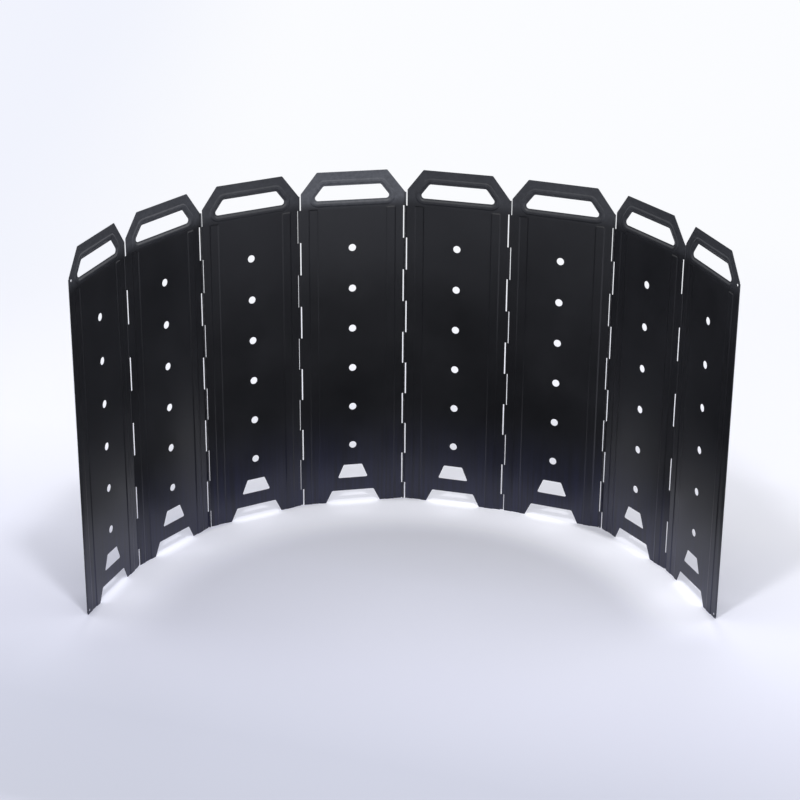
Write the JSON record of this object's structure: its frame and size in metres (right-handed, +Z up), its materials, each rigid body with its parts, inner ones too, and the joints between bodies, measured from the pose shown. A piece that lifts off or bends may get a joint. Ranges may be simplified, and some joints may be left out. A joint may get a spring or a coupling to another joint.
{
  "type": "campfire reflector",
  "caption": "Folding wall of black pressed steel panels, hinged edge to edge, that stands in an arc behind a fire to throw its heat forward and keep the wind off.",
  "frame": {"origin": "on the ground, at the middle of the footprint of the wall as it stands in its arc", "axes": "+X to the right as seen from the fire, +Y from the fire towards the wall, +Z up"},
  "size_m": [0.987, 0.4354, 0.6],
  "materials": {
    "stove_paint": "matte heat-resistant paint with a fine grain",
    "rod_steel": "plain drawn rod"
  },
  "bodies": {
    "left_end": {"left_end_panel": "stove_paint", "hinge_rod_1": "rod_steel"},
    "leaf_2": {"panel_2": "stove_paint", "hinge_rod_2": "rod_steel"},
    "leaf_3": {"panel_3": "stove_paint", "hinge_rod_3": "rod_steel"},
    "leaf_4": {"panel_4": "stove_paint", "hinge_rod_4": "rod_steel"},
    "leaf_5": {"panel_5": "stove_paint", "hinge_rod_5": "rod_steel"},
    "leaf_6": {"panel_6": "stove_paint", "hinge_rod_6": "rod_steel"},
    "leaf_7": {"panel_7": "stove_paint", "hinge_rod_7": "rod_steel"},
    "right_end": {"right_end_panel": "stove_paint"}
  },
  "joints": [
    {"name": "hinge_4", "type": "hinge", "parent": "leaf_4", "child": "leaf_5", "pos_m": [0.0013, 0.21611, 0.28], "axis": [0, 0, -1], "range_deg": [0, 153.6]},
    {"name": "hinge_3", "type": "hinge", "parent": "leaf_4", "child": "leaf_3", "pos_m": [-0.17395, 0.18479, 0.28], "axis": [0, 0, 1], "range_deg": [-198.91, 0]},
    {"name": "hinge_2", "type": "hinge", "parent": "leaf_3", "child": "leaf_2", "pos_m": [-0.32691, 0.09372, 0.28], "axis": [0, 0, 1], "range_deg": [0, 155.51]},
    {"name": "hinge_1", "type": "hinge", "parent": "leaf_2", "child": "left_end", "pos_m": [-0.43272, -0.04944, 0.28], "axis": [0, 0, 1], "range_deg": [-195.61, 0]},
    {"name": "hinge_5", "type": "hinge", "parent": "leaf_5", "child": "leaf_6", "pos_m": [0.17362, 0.17144, 0.28], "axis": [0, 0, -1], "range_deg": [-186.51, 0]},
    {"name": "hinge_6", "type": "hinge", "parent": "leaf_6", "child": "leaf_7", "pos_m": [0.33777, 0.10255, 0.28], "axis": [0, 0, -1], "range_deg": [0, 143.61]},
    {"name": "hinge_7", "type": "hinge", "parent": "leaf_7", "child": "right_end", "pos_m": [0.4336, -0.04748, 0.28], "axis": [0, 0, -1], "range_deg": [-192.01, 0]}
  ],
  "couplings": [
    {"joint": "hinge_3", "follows": "hinge_4", "ratio": -1.2949},
    {"joint": "hinge_2", "follows": "hinge_4", "ratio": 1.0124},
    {"joint": "hinge_1", "follows": "hinge_4", "ratio": -1.2734},
    {"joint": "hinge_5", "follows": "hinge_4", "ratio": -1.2142},
    {"joint": "hinge_6", "follows": "hinge_4", "ratio": 0.9349},
    {"joint": "hinge_7", "follows": "hinge_4", "ratio": -1.25}
  ]
}
